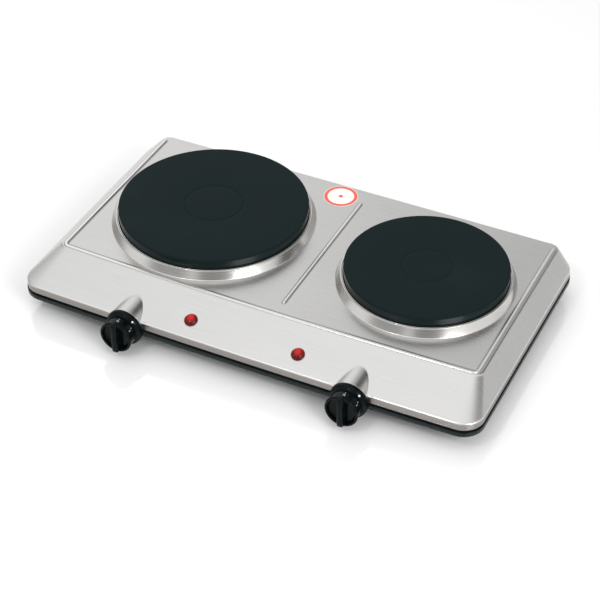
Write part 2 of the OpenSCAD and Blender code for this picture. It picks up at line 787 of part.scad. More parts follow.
// Thermostat to plate, and plate back to the terminal block
module circuit_leads(side, x, first, pitch, turns) {
    pins = pin_places(first, pitch, turns);
    hot = x + pins[0][0];
    back = x + pins[1][0];
    color("#e8e2d8") {
        lead([[side * (knob_x + 5), stat_tag_y, stat_tag_z], [side * (knob_x + 5), mid_y - 80, lead_z + 12],
            [x, plate_y - 56, lead_z + 10], [x, plate_y - 56, shield_z + 6],
            [hot, plate_y - 14, pin_low_z - 4], [hot, plate_y, pin_low_z - 4], [hot, plate_y, pin_low_z - 0.2]]);
        lead([[gland_x + side * 1.4, block_front, block_hole_z], [gland_x + side * 1.4, block_y - 24, lead_z + 6],
            [x, plate_y + 30, lead_z + 6], [x, plate_y + 56, lead_z + 8], [x, plate_y + 56, shield_z + 6],
            [back, plate_y + 14, pin_low_z - 4], [back, plate_y, pin_low_z - 4], [back, plate_y, pin_low_z - 0.2]]);
    }
}

module pilot_lamp_leads() {
    low = -10.2;
    lean = panel_tilt(lamp_x);
    y = lamp_y - low * sin(lean);
    z = panel_z(lamp_x, lamp_y) + low * cos(lean);
    color("#d8d8d8") for (side = [-1, 1], s = [-1, 1]) {
        lead([[side * lamp_x + s * 1.4, y, z], [side * lamp_x + s * 1.4, y + 2, z - 5],
            [side * (lamp_x + 15) + s * 1.4, mid_y - 92, lead_z + 12 - s * side * 2],
            [side * (knob_x - 14), mid_y - 88, lead_z + 12 - s * side * 2]], r = 0.8);
    }
}

module earth_lead() {
    tag_x = gland_x + earth_out;
    tag_z = floor_z + 2.6;
    color("#4d9a3a") lead([[gland_x + 13.4, block_front, block_hole_z],
        [gland_x + 13.4, block_front - 8, block_hole_z], [gland_x + 22, block_y - 22, lead_z],
        [tag_x - 3, block_y - 18, tag_z], [tag_x, block_y - 8, tag_z], [tag_x, block_y + 1.9, tag_z]]);
}

// Coil sizes: inner radius, pitch and number of half turns
large_coil = [22, 22, 5];
small_coil = [20, 18, 5];

top_cover();
base_pan();
heat_shield();
hot_plate(large_x, large_r);  // large_hot_plate
hot_plate(small_x, small_r);  // small_hot_plate
trim_ring(large_x, large_r);  // large_trim_ring
trim_ring(small_x, small_r);  // small_trim_ring
heating_coil(large_x, large_coil[0], large_coil[1], large_coil[2]);  // large_heating_coil
heating_coil(small_x, small_coil[0], small_coil[1], small_coil[2]);  // small_heating_coil
union() {  // large_coil_insulation
    coil_insulation(large_x, large_r, large_coil[0], large_coil[1], large_coil[2]);
}
union() {  // small_coil_insulation
    coil_insulation(small_x, small_r, small_coil[0], small_coil[1], small_coil[2]);
}
union() {  // large_plate_backing
    plate_backing(large_x, large_r, large_coil[0], large_coil[1], large_coil[2]);
}
union() {  // small_plate_backing
    plate_backing(small_x, small_r, small_coil[0], small_coil[1], small_coil[2]);
}
union() {  // large_terminal_bushes
    terminal_bushes(large_x, large_coil[0], large_coil[1], large_coil[2]);
}
union() {  // small_terminal_bushes
    terminal_bushes(small_x, small_coil[0], small_coil[1], small_coil[2]);
}
plate_stud(large_x);  // large_plate_stud
plate_stud(small_x);  // small_plate_stud
plate_spacers();
clamp_bar(large_x, large_r);  // large_clamp_bar
clamp_bar(small_x, small_r);  // small_clamp_bar
clamp_washers();
clamp_nuts();
thermal_cutout(large_x);  // large_thermal_cutout
thermal_cutout(small_x);  // small_thermal_cutout
thermostat(-1);  // left_thermostat
thermostat(1);  // right_thermostat
thermostat_bracket(-1);  // left_thermostat_bracket
thermostat_bracket(1);  // right_thermostat_bracket
thermostat_screws();
control_shaft(-1);  // left_control_shaft
control_shaft(1);  // right_control_shaft
knob(-1);  // left_knob
knob(1);  // right_knob
knob_clip(-1);  // left_knob_clip
knob_clip(1);  // right_knob_clip
knob_collar(-1);  // left_knob_collar
knob_collar(1);  // right_knob_collar
pilot_lens(-1);  // left_pilot_lens
pilot_lens(1);  // right_pilot_lens
neon_lamp(-1);  // left_neon_lamp
neon_lamp(1);  // right_neon_lamp
pilot_lens_clips();
mains_terminal_block();
terminal_block_screws();
cord_gland();
gland_lock_ring();
earth_stud();
supply_leads();
union() {  // left_circuit_leads
    circuit_leads(-1, large_x, large_coil[0], large_coil[1], large_coil[2]);
}
union() {  // right_circuit_leads
    circuit_leads(1, small_x, small_coil[0], small_coil[1], small_coil[2]);
}
pilot_lamp_leads();
earth_lead();
foot(foot_places[0]);  // front_left_foot
foot(foot_places[1]);  // front_right_foot
foot(foot_places[2]);  // rear_left_foot
foot(foot_places[3]);  // rear_right_foot
cover_screws();
shield_screws();
heat_label();
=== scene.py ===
import json
import math
import bmesh
import bpy
import numpy as np
from mathutils import Matrix, Vector
from mathutils.geometry import tessellate_polygon


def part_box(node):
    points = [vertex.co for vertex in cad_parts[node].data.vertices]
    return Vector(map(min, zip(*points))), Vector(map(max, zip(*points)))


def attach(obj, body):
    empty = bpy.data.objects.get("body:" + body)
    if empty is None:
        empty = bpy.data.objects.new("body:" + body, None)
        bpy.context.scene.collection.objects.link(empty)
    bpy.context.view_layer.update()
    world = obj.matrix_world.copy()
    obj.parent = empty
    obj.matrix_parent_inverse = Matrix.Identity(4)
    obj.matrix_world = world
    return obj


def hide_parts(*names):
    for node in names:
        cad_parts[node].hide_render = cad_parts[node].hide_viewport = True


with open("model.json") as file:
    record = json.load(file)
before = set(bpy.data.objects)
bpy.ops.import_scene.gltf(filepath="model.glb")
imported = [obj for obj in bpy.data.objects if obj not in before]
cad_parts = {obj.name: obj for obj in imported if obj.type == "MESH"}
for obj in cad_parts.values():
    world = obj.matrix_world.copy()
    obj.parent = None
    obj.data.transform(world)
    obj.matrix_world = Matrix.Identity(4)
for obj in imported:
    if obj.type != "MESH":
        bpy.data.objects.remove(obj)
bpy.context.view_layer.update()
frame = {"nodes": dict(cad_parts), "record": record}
nodes = frame["nodes"]
subparts = frame["record"]["subparts"]
mm = 0.001  # shapes are worked out in millimetres, and scaled by this when they become a mesh
housing = "housing"
print("frame loaded:", len(nodes), "nodes")


# camera: place and target in mm, roll in degrees, lens and sensor in mm, furthest sight in metres
cameraShape = {"place": (569.1, -1146.35, 1055.2), "target": (27.7, -44.25, 48.0), "roll": -0.16,
               "lens": 103.64, "sensor": 36, "sight": 50}


def makeCamera(s):
    camera = bpy.data.objects.new("camera", bpy.data.cameras.new("camera"))
    bpy.context.scene.collection.objects.link(camera)
    place, target = Vector(s["place"]) * mm, Vector(s["target"]) * mm
    aim = (target - place).to_track_quat("-Z", "Y").to_matrix()
    roll = Matrix.Rotation(math.radians(s["roll"]), 3, "Z")
    camera.matrix_world = Matrix.Translation(place) @ (aim @ roll).to_4x4()
    camera.data.sensor_width = s["sensor"]
    camera.data.lens = s["lens"]
    camera.data.clip_end = s["sight"]
    bpy.context.scene.camera = camera


makeCamera(cameraShape)


class Socket:
    # one output socket; sums and products on it add Math nodes
    def __init__(self, finish, link):
        self.finish, self.link = finish, link

    def __add__(self, other):
        return self.finish.sum("ADD", self, other)

    def __sub__(self, other):
        return self.finish.sum("SUBTRACT", self, other)

    def __mul__(self, other):
        return self.finish.sum("MULTIPLY", self, other)

    def __rsub__(self, other):
        return self.finish.sum("SUBTRACT", other, self)

    __radd__ = __add__
    __rmul__ = __mul__


class NodeWork:
    # adds nodes to one tree
    def __init__(self, tree):
        self.tree = tree

    def feed(self, socket, value):
        if isinstance(value, Socket):
            self.tree.links.new(value.link, socket)
        else:
            socket.default_value = value

    # any node: its type, its settings, the values or links of its sockets, and the output wanted
    def node(self, kind, settings=None, inputs=None, output=0):
        made = self.tree.nodes.new("ShaderNode" + kind)
        for key, value in (settings or {}).items():
            setattr(made, key, value)
        for key, value in (inputs or {}).items():
            self.feed(made.inputs[key], value)
        return Socket(self, made.outputs[output])

    def sum(self, operation, a, b=None, clamp=False):
        inputs = {0: a} if b is None else {0: a, 1: b}
        return self.node("Math", {"operation": operation, "use_clamp": clamp}, inputs)

    def coords(self):
        return self.node("TexCoord", output="Object")

    def parts(self, vector):
        split = self.tree.nodes.new("ShaderNodeSeparateXYZ")
        self.feed(split.inputs[0], vector)
        return [Socket(self, part) for part in split.outputs]

    def joined(self, x, y, z):
        return self.node("CombineXYZ", {}, {0: x, 1: y, 2: z})

    def noise(self, vector, scale, detail=2.0, rough=0.5):
        return self.node("TexNoise", {}, {"Vector": vector, "Scale": scale, "Detail": detail,
                                          "Roughness": rough})

    # spreads a value between two levels onto 0 to 1, with soft ends
    def step(self, value, low, high):
        return self.node("MapRange", {"interpolation_type": "SMOOTHSTEP"},
                         {"Value": value, "From Min": low, "From Max": high})

    def mix(self, factor, a, b):
        made = self.tree.nodes.new("ShaderNodeMix")
        made.data_type = "RGBA"
        for index, value in ((0, factor), (6, a), (7, b)):
            if isinstance(value, tuple):
                value = (*value, 1)
            self.feed(made.inputs[index], value)
        return Socket(self, made.outputs[2])

    def bump(self, height, strength, distance):
        return self.node("Bump", {}, {"Height": height, "Strength": strength, "Distance": distance})

    # how far a point lies across and along from an upright axis, and its height
    def fromAxis(self, centre):
        x, y, z = self.parts(self.coords())
        return x - centre[0], y - centre[1], z

    def distance(self, across, along):
        return self.sum("SQRT", across * across + along * along)


socketNames = {"colour": "Base Color", "rough": "Roughness", "metal": "Metallic", "coat": "Coat Weight",
               "coatRough": "Coat Roughness", "normal": "Normal", "specular": "Specular IOR Level",
               "glow": "Emission Color", "glowPower": "Emission Strength"}


class Finish(NodeWork):
    # a material with one Principled shader, and the nodes that feed it
    def __init__(self, name):
        self.material = bpy.data.materials.new(name)
        self.material.use_nodes = True
        super().__init__(self.material.node_tree)
        self.tree.nodes.clear()
        out = self.tree.nodes.new("ShaderNodeOutputMaterial")
        self.shader = self.tree.nodes.new("ShaderNodeBsdfPrincipled")
        self.tree.links.new(self.shader.outputs[0], out.inputs[0])

    def set(self, **inputs):
        for key, value in inputs.items():
            self.feed(self.shader.inputs[socketNames[key]], value)
        return self.material


# the faces of a grid of points: each joins four neighbours, and closed joins the last column to the first
def gridFaces(rows, columns, closed):
    across = columns if closed else columns - 1
    row, column = np.meshgrid(np.arange(rows - 1), np.arange(across), indexing="ij")
    beside = (column + 1) % columns
    near, far = row * columns, (row + 1) * columns
    return np.stack([near + column, near + beside, far + beside, far + column], -1).reshape(-1, 4)


class Shape:
    # gathers points and faces in mm, then makes one object of them
    def __init__(self):
        self.points, self.faces, self.count = [], [], 0

    def add(self, points, faces):
        points = np.asarray(points, float).reshape(-1, 3)
        self.points.append(points)
        self.faces += [tuple(int(i) + self.count for i in face) for face in faces]
        self.count += len(points)

    def grid(self, points, closed=False, flip=False):
        rows, columns = points.shape[:2]
        faces = gridFaces(rows, columns, closed)
        self.add(points, faces[:, ::-1] if flip else faces)

    def build(self, name, finish, body, node=None, weld=1e-6, recalc=False, smooth=40):
        mesh = bpy.data.meshes.new(name)
        mesh.from_pydata((np.concatenate(self.points) * mm).tolist(), [], self.faces)
        piece = bpy.data.objects.new(name, mesh)
        bpy.context.scene.collection.objects.link(piece)
        tidyMesh(mesh, weld, recalc)
        finishPiece(piece, finish, body, node, smooth)
        return piece


# merges points closer than weld, in metres, and turns the faces outwards where asked
def tidyMesh(mesh, weld, recalc=False):
    work = bmesh.new()
    work.from_mesh(mesh)
    bmesh.ops.remove_doubles(work, verts=work.verts, dist=weld)
    if recalc:
        bmesh.ops.recalc_face_normals(work, faces=work.faces)
    work.to_mesh(mesh)
    work.free()


# gives a piece its finish, smooth shading up to an angle in degrees, and its place in the frame
def finishPiece(piece, finish, body, node, smooth):
    piece.data.materials.clear()
    piece.data.materials.append(finish)
    piece.data.shade_smooth()
    if smooth:
        piece.data.set_sharp_from_angle(angle=math.radians(smooth))
    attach(piece, body)
    if node:
        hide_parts(node)


# rounds the corners of a profile of (across, up, radius): a corner becomes a curve that starts and ends a
# radius away from it, with shares of (1 - t) squared, 2 t (1 - t) and t squared for its start, the corner
# and its end
def rounded(profile, steps=5):
    corners = [np.array(point[:2], float) for point in profile]
    line = [corners[0]]
    for i in range(1, len(corners) - 1):
        radius = profile[i][2] if len(profile[i]) > 2 else 0
        if not radius:
            line.append(corners[i])
            continue
        start, end = (corners[i] + way / np.linalg.norm(way) * min(radius, np.linalg.norm(way) * 0.48)
                      for way in (corners[i - 1] - corners[i], corners[i + 1] - corners[i]))
        for t in np.linspace(0, 1, steps):
            line.append((1 - t) ** 2 * start + 2 * t * (1 - t) * corners[i] + t * t * end)
    line.append(corners[-1])
    return np.array(line)


# a profile of (radius, height) carried round an upright axis: x and y are the radius times the cosine and
# sine of the angle, z is the height
def turned(profile, segments, centre):
    angle = np.linspace(0, 2 * math.pi, segments, endpoint=False)
    radius, height = profile[:, :1], profile[:, 1:]
    grid = np.stack([radius * np.cos(angle), radius * np.sin(angle), height + 0 * angle], -1)
    return grid + np.array(centre)


# the same round a knob's axis, which points to the front: the height runs along -Y
def turnedFront(profile, segments, axis, first=0.0, last=2 * math.pi, closed=True):
    angle = np.linspace(first, last, segments, endpoint=not closed)
    radius, height = profile[:, :1], profile[:, 1:]
    return np.stack([axis[0] + radius * np.cos(angle), axis[1] - height + 0 * angle,
                     axis[2] + radius * np.sin(angle)], -1)


# 0 to 1 with soft ends: t squared times (3 - 2 t)
def smooth01(t):
    t = np.clip(t, 0, 1)
    return t * t * (3 - 2 * t)


# lowest and highest corners of a node, in mm
def boxOf(node):
    low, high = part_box(node)
    return np.array(low) / mm, np.array(high) / mm


# brushed sheet: fine streaks along the first coordinate of the sheet map, broad cloudy tone, faint rub marks,
# painted shade along the feet of its beads and painted highlights on their crowns and on the crease, and a
# skirt painted darker and browner as a painted reflection
def brushedSheet(name, look):
    f = Finish(name)
    flat = f.node("UVMap", {"uv_map": "sheet"})

    def pattern(scale, detail):
        return f.noise(f.node("Mapping", {}, {"Vector": flat, "Scale": scale}), 1.0, detail)

    fine, streak = pattern(look["fine"], 2), pattern(look["streak"], 3)
    cloud = pattern(look["cloud"], 3)
    rub = f.step(pattern(look["rub"], 5), 0.62, 0.78)
    colour = f.mix(f.step(fine * 0.5 + streak * 0.3 + cloud * 0.2, 0.3, 0.7), look["dark"], look["light"])
    # painted reflection: the skirt below lowZ is coloured darker and browner, standing in for the dark
    # reflection of the floor that it shows
    height = f.parts(f.coords())[2]
    paintedSkirtShade = 1 - f.step(height, look["lowZ"] - look["lowBlend"], look["lowZ"])
    colour = f.mix(paintedSkirtShade * 0.75, colour, look["low"])
    # painted shade where the mesh's mark is above 0 and a painted highlight where it is below 0, along the
    # beads and the crease
    paintedLight = f.node("Attribute", {"attribute_name": "paintedLight"}, output="Fac")
    colour = f.mix(f.sum("MAXIMUM", paintedLight, 0.0) * 0.72, colour, look["paintedShade"])
    colour = f.mix(f.sum("MAXIMUM", paintedLight * -1.0, 0.0) * 0.85, colour, look["paintedHighlight"])
    rough = look["rough"] + (fine - 0.5) * 0.12 + (streak - 0.5) * 0.07 + rub * 0.03
    return f.set(colour=colour, metal=1.0, rough=rough,
                 normal=f.bump(fine * 0.6 + streak * 0.4, 0.12, 0.00006))


# spun sheet: rings about the part's own axis, as turning leaves them
def spunSheet(name, centre, look):
    f = Finish(name)
    across, along, height = f.fromAxis(centre)
    radius = f.distance(across, along)
    rings = f.noise(f.joined(radius * look["rings"], height * look["rings"], 0.0), 1.0, 2)
    cloud = f.noise(f.coords(), look["cloud"], 3)
    colour = f.mix(f.step(rings * 0.6 + cloud * 0.4, 0.3, 0.7), look["dark"], look["light"])
    rough = look["rough"] + (rings - 0.5) * 0.1 + (cloud - 0.5) * 0.05
    return f.set(colour=colour, metal=1.0, rough=rough, normal=f.bump(rings, 0.1, 0.00005))


# heat-proof coating on turned iron: concentric tool marks under a fine grain, paler where pans have rubbed,
# and glossier down the side
def coatedIron(name, centre, look):
    f = Finish(name)
    across, along, height = f.fromAxis(centre)
    rings = f.noise(f.joined(f.distance(across, along) * look["rings"], 0.0, 0.0), 1.0, 1)
    grain = f.noise(f.coords(), look["grain"], 3, 0.6)
    cloud = f.noise(f.coords(), look["cloud"], 4)
    rub = f.step(cloud * 0.7 + grain * 0.3, 0.5, 0.75)
    top = f.step(height, look["topZ"] - 0.0018, look["topZ"] - 0.0006)
    colour = f.mix(rub * 0.6 * top, look["dark"], look["light"])
    rough = look["sideRough"] + top * (look["rough"] - look["sideRough"]) + (grain - 0.5) * 0.1 - rub * 0.04
    return f.set(colour=colour, rough=rough, specular=look["specular"], coat=(1 - top) * 0.22, coatRough=0.1,
                 normal=f.bump(grain * 0.6 + rings * 0.4, 0.25, 0.00012))


# moulded plastic or enamel: soft cloud in tone and gloss, very fine orange-peel, a little dust
def moulded(name, look):
    f = Finish(name)
    cloud = f.noise(f.coords(), look.get("cloud", 60), 3)
    peel = f.noise(f.coords(), look.get("grain", 900), 2)
    dust = f.step(f.noise(f.coords(), 340, 5, 0.7), 0.6, 0.8)
    colour = f.mix(f.step(cloud, 0.3, 0.7) * 0.8 + dust * 0.2, look["dark"], look["light"])
    rough = look["rough"] + (cloud - 0.5) * 0.12 + dust * 0.06
    return f.set(colour=colour, rough=rough, specular=look.get("specular", 0.5), coat=look.get("coat", 0.0),
                 coatRough=0.1, normal=f.bump(peel, look.get("bump", 0.1), 0.0001))


# plated or bare metal: mottled tone, and fine scratches that slant across it
def bareMetal(name, look):
    f = Finish(name)
    cloud = f.noise(f.coords(), look.get("cloud", 90), 4)
    slant = f.node("Mapping", {"vector_type": "TEXTURE"},
                   {"Vector": f.coords(), "Scale": (1, 14, 3), "Rotation": (0.3, 0.5, 0.7)})
    scratch = f.noise(slant, 420, 2)
    colour = f.mix(f.step(cloud, 0.3, 0.7), look["dark"], look["light"])
    rough = look["rough"] + (cloud - 0.5) * 0.14 + (scratch - 0.5) * 0.1
    return f.set(colour=colour, metal=1.0, rough=rough, normal=f.bump(scratch, 0.12, 0.00008))


# clear red lens: darker and deeper towards its rim, painted brighter in the middle as a highlight, with
# moulded rays inside, and a painted glow of its own colour
def redLens(name, centre, look):
    f = Finish(name)
    across, along = f.fromAxis(centre)[:2]
    ray = f.sum("SINE", f.sum("ARCTAN2", along, across) * look["rays"]) * 0.5 + 0.5
    facets = f.node("TexVoronoi", {}, {"Vector": f.coords(), "Scale": look["facets"]})
    # painted highlight: the colour is brighter towards the middle
    paintedBrightMiddle = 1 - f.step(f.distance(across, along), look["paintedBrightMiddle"], look["rim"])
    colour = f.mix(f.sum("ADD", paintedBrightMiddle * 0.75, ray * facets * 0.35, True), look["dark"], look["light"])
    # painted glow: the lens emits its own colour, brightest in its painted bright middle
    return f.set(colour=colour, rough=0.12 + facets * 0.08, specular=0.2, coat=0.12, coatRough=0.04,
                 glow=colour, glowPower=look["glow"], normal=f.bump(ray * 0.5 + facets, 0.15, 0.0004))


# printed film: white, with a coloured ring between two radii and a plain dot in the middle
def printedLabel(name, centre, look):
    f = Finish(name)
    across, along = f.fromAxis(centre)[:2]
    radius = f.distance(across, along)

    def beyond(limit):
        return f.step(radius, limit - look["blur"], limit + look["blur"])

    ring = beyond(look["inner"]) - beyond(look["outer"])
    dot = 1 - beyond(look["dot"])
    cloud = f.noise(f.coords(), 300, 4)
    white = f.mix(cloud, look["white"], look["bright"])
    colour = f.mix(f.sum("ADD", ring, dot, True), white, look["ink"])
    return f.set(colour=colour, rough=0.34 + (cloud - 0.5) * 0.12, coat=0.3, coatRough=0.2,
                 normal=f.bump(cloud, 0.06, 0.00005))


# the finish of each material slot that the frame's nodes and the new pieces share
slotLooks = {
    "base_enamel": (moulded, {"dark": (0.004, 0.008, 0.009), "light": (0.007, 0.012, 0.013),
                              "rough": 0.28, "specular": 0.2, "bump": 0.1}),
    "black_plastic": (moulded, {"dark": (0.0012, 0.003, 0.0036), "light": (0.0035, 0.006, 0.007),
                                "rough": 0.09, "specular": 0.085, "bump": 0.05}),
    "black_rubber": (moulded, {"dark": (0.012, 0.012, 0.012), "light": (0.03, 0.03, 0.03), "rough": 0.72,
                               "bump": 0.3}),
    "pale_ceramic": (moulded, {"dark": (0.62, 0.57, 0.48), "light": (0.74, 0.7, 0.62), "rough": 0.6,
                               "bump": 0.25}),
    "brown_lead": (moulded, {"dark": (0.12, 0.045, 0.022), "light": (0.18, 0.07, 0.035), "rough": 0.45}),
    "green_lead": (moulded, {"dark": (0.05, 0.2, 0.03), "light": (0.5, 0.45, 0.05), "rough": 0.45,
                             "cloud": 120}),
    "white_lead": (moulded, {"dark": (0.55, 0.52, 0.46), "light": (0.72, 0.7, 0.64), "rough": 0.7,
                             "grain": 2200, "bump": 0.4}),
    "lamp_glass": (moulded, {"dark": (0.75, 0.62, 0.5), "light": (0.85, 0.75, 0.66), "rough": 0.08,
                             "coat": 1.0}),
    "bright_sheet": (bareMetal, {"dark": (0.6, 0.61, 0.61), "light": (0.72, 0.73, 0.73), "rough": 0.28}),
    "zinc_steel": (bareMetal, {"dark": (0.42, 0.43, 0.44), "light": (0.58, 0.59, 0.6), "rough": 0.36}),
    "dark_steel": (bareMetal, {"dark": (0.05, 0.05, 0.052), "light": (0.1, 0.1, 0.1), "rough": 0.45}),
    "coil_metal": (bareMetal, {"dark": (0.16, 0.12, 0.1), "light": (0.3, 0.25, 0.21), "rough": 0.55}),
    "brass_parts": (bareMetal, {"dark": (0.52, 0.36, 0.14), "light": (0.72, 0.55, 0.28), "rough": 0.3}),
}
printLook = {"dark": (0.7, 0.7, 0.68), "light": (0.82, 0.82, 0.8), "rough": 0.45}
finishes = {slot: make(slot, look) for slot, (make, look) in slotLooks.items()}
finishes["white_print"] = moulded("white_print", printLook)
print("finishes made:", len(finishes))


# top cover in mm: heights of the hem, the crease and the deck; depth, corners and bowed front of the body;
# how far the deck lies inside it; the edge, the crease and the sheet; the raised bead; the knob bosses and
# their rolled lips; the divider bead; the holes for the plates; and the columns that the outline is divided
# into
coverShape = {
    "hemZ": 24.5, "creaseZ": 32.0, "deckZ": 48.6,
    "depth": 259.0, "baseLip": 0.6, "cornerR": 20.0, "bow": 3.0,
    "sideInset": 15.2, "rearInset": 2.5, "panelDepth": 46.5, "deckCornerR": 10.0, "deckBow": 4.0,
    "edge": 1.2, "crease": 1.7, "sheet": 0.8,
    "beadW": 4.0, "beadH": 0.8, "beadSide": 3.0, "beadFront": 1.6, "beadStop": 9.0, "beadFlat": 2.0,
    "bossR": 17.3, "bossWall": 2.3, "bossOut": 1.3, "bossBlend": 0.9, "lipR": 18.25, "lipBore": 15.0,
    "dividerL": 169.0, "dividerBack": 3.0,
    "holeInset": 4.9, "holeRim": 0.8, "holeSteps": 128,
    "frontEnd": 190.0, "endColumns": 12, "knobReach": 22.0, "knobStep": 0.55, "middleColumns": 34,
    "cornerColumns": 14, "sideColumns": 40, "rearColumns": 50,
}
# the second pair of colours is a painted-shade colour for the bead feet and a painted-highlight colour for
# the bead crowns and the crease
coverLook = {"dark": (0.50, 0.497, 0.488), "light": (0.57, 0.567, 0.558), "paintedShade": (0.13, 0.125, 0.12),
             # low is the darker browner colour painted on the skirt below lowZ as a painted reflection,
             # blended in over lowBlend
             "paintedHighlight": (0.86, 0.855, 0.84), "low": (0.2, 0.175, 0.158), "lowZ": 0.0317, "lowBlend": 0.0016,
             "rough": 0.29, "fine": (38, 5200, 1), "streak": (9, 900, 1), "cloud": (7, 16, 1),
             "rub": (30, 42, 1)}
collarLength = 7.2  # how far a dial collar stands in front of its boss

# places that several pieces share, from the frame
halfWidth = boxOf("top_cover")[1][0]
knobLow, knobHigh = boxOf("right_knob")
knobX, knobZ = (knobLow[0] + knobHigh[0]) / 2, (knobLow[2] + knobHigh[2]) / 2
collarFrontY = boxOf("right_knob_collar")[0][1]
bossFrontY = collarFrontY + collarLength
rearY = boxOf("base_pan")[1][1] - coverShape["baseLip"]
frontY = rearY - coverShape["depth"]
deckRearY = rearY - coverShape["rearInset"]
largeLow, largeHigh = boxOf("large_hot_plate")
smallLow, smallHigh = boxOf("small_hot_plate")
largeCentre, smallCentre = (largeLow + largeHigh) / 2, (smallLow + smallHigh) / 2
largeRadius, smallRadius = (largeHigh[0] - largeLow[0]) / 2, (smallHigh[0] - smallLow[0]) / 2
plateTop = largeHigh[2]
sides = {"left": -1, "right": 1}


# where the columns of the front edge stand: close together at the knobs, wider elsewhere
def frontStations(s):
    near = np.arange(-s["knobReach"], s["knobReach"] + 0.01, s["knobStep"])
    left = np.linspace(-s["frontEnd"], -knobX - s["knobReach"], s["endColumns"])[:-1]
    middle = np.linspace(s["knobReach"] - knobX, knobX - s["knobReach"], s["middleColumns"])[1:-1]
    return np.concatenate([left, near - knobX, middle, near + knobX, -left[::-1]])


# outline seen from above, with its outward normals, counterclockwise from the front's left end. The front
# lies on a circle through its ends and the top of its bow, the corners are arcs that meet it, the rest is
# straight.
def outline(s, half, front, rear, radius, bow):
    bowRadius = (half * half + bow * bow) / (2 * bow)
    bowY = front - bow + bowRadius
    tilt = math.asin((half - radius) / (bowRadius - radius))
    cornerY = bowY - math.sqrt((bowRadius - radius) ** 2 - (half - radius) ** 2)
    beyond = np.linspace(0, 1, 5)[1:] * (bowRadius * math.sin(tilt) - s["frontEnd"])
    across = np.concatenate([-(s["frontEnd"] + beyond[::-1]), frontStations(s), s["frontEnd"] + beyond])
    along = bowY - np.sqrt(bowRadius * bowRadius - across * across)
    points = [np.stack([across, along], 1)]
    normals = [np.stack([across / bowRadius, (along - bowY) / bowRadius], 1)]

    def corner(x, y, first, last):
        angle = np.linspace(first, last, s["cornerColumns"])[1:-1]
        way = np.stack([np.cos(angle), np.sin(angle)], 1)
        points.append(np.array([x, y]) + radius * way)
        normals.append(way)

    def straight(start, end, way, count):
        t = np.linspace(0, 1, count)[:, None]
        points.append(np.array(start) * (1 - t) + np.array(end) * t)
        normals.append(np.tile(way, (count, 1)))

    right = math.pi / 2
    corner(half - radius, cornerY, tilt - right, 0)
    straight((half, cornerY), (half, rear - radius), (1.0, 0.0), s["sideColumns"])
    corner(half - radius, rear - radius, 0, right)
    straight((half - radius, rear), (radius - half, rear), (0.0, 1.0), s["rearColumns"])
    corner(radius - half, rear - radius, right, math.pi)
    straight((-half, rear - radius), (-half, cornerY), (-1.0, 0.0), s["sideColumns"])
    corner(radius - half, cornerY, math.pi, 3 * right - tilt)
    return np.concatenate(points), np.concatenate(normals)


# flat points given a height
def level(points, height):
    return np.concatenate([points, np.full((len(points), 1), height)], 1)


# painted shade (above 0) along the feet of a raised bead and a painted highlight (below 0) on its crown, for
# t from 0 to 1 across it: each is a bell that falls off as e to the minus square of the distance
def beadPaintedLight(t, feet=(0, 1)):
    return sum(math.exp(-((t - foot) / 0.1) ** 2) for foot in feet) - 0.8 * math.exp(-((t - 0.5) / 0.22) ** 2)


# the cover's rows of points, from the hem up the skirt, over the crease, up the slope to the deck, over the
# bead and on to the flat: a point for each column of the outline, the stretch it is in, and its painted shade
# or painted highlight
def coverRows(s, body, bodyWay, deck, deckWay):
    hem, top = s["hemZ"], s["deckZ"]
    rows, kinds, paintedLights = [], [], []

    def row(points, kind, paintedLight=0.0):
        rows.append(points)
        kinds.append(kind)
        paintedLights.append(np.broadcast_to(np.asarray(paintedLight, float).reshape(-1), (len(body),)))

    def leaning(start, corner, end, t):
        return (1 - t) ** 2 * start + 2 * t * (1 - t) * corner + t * t * end

    # turned-in hem, its rolled edge and the skirt: how far out and how high
    for out, high in ((-10.2, hem), (-6, hem), (-2.4, hem), (-1.0, hem), (-0.5, hem + 0.05),
                      (-0.15, hem + 0.25), (0, hem + 0.7), (0, hem + 2), (0, hem + 3.6),
                      (0, s["creaseZ"] - s["crease"] - 0.8)):
        row(level(body + bodyWay * out, high), "skirt")
    front = np.clip(-deckWay[:, 1], 0, 1)[:, None] ** 2  # 1 along the front, 0 on the sides and at the rear
    corner = level(body, s["creaseZ"])
    edge = level(deck - deckWay * s["edge"] * front, top)
    edge[:, 2:] -= s["edge"] * (1 - front)
    along = (edge - corner) / np.linalg.norm(edge - corner, axis=1, keepdims=True)
    below, above = level(body, s["creaseZ"] - s["crease"]), corner + along * s["crease"]
    # a painted highlight along the crease, given as a mark below 0
    for t in np.linspace(0, 1, 8):
        row(leaning(below, corner, above, t), "crease", -0.5 * math.exp(-((t - 0.6) / 0.15) ** 2))
    edgeStart = edge - along * (0.9 + 0.5 * front)
    for t in np.linspace(0, 1, 58)[1:-1]:
        row(above * (1 - t) + edgeStart * t, "slope")
    beadIn = s["beadSide"] * (1 - front) + s["beadFront"] * front
    foot = level(deck - deckWay * beadIn * 0.95, top)
    bend = level(deck - deckWay * (beadIn * 0.25 * (1 - front) + s["edge"] * front), top)
    for t in np.linspace(0, 1, 7):
        row(leaning(edgeStart, bend, foot, t), "edge")
    # the bead runs along the front and the sides, and ends round before the rear
    deckY = deck[:, 1:]
    stop = deckRearY - s["beadStop"]
    ending = np.where(np.abs(deckWay[:, :1]) > 0.9, np.sqrt(np.clip((stop + 2 - deckY) / 3.0, 0, 1)), 0.0)
    present = np.where(deckY < stop - 30, 1.0, ending)
    for t in np.linspace(0, 1, 17):
        points = level(deck - deckWay * (beadIn + t * s["beadW"]), top)
        points[:, 2:] += s["beadH"] * smooth01(t / 0.26) * smooth01((1 - t) / 0.26) * present
        # painted shade at the bead's feet and a painted highlight on its crown
        row(points, "bead", beadPaintedLight(t) * present)
    row(level(deck - deckWay * (beadIn + s["beadW"] + s["beadFlat"]), top), "bead")
    return np.array(rows), np.array(kinds), np.array(paintedLights)


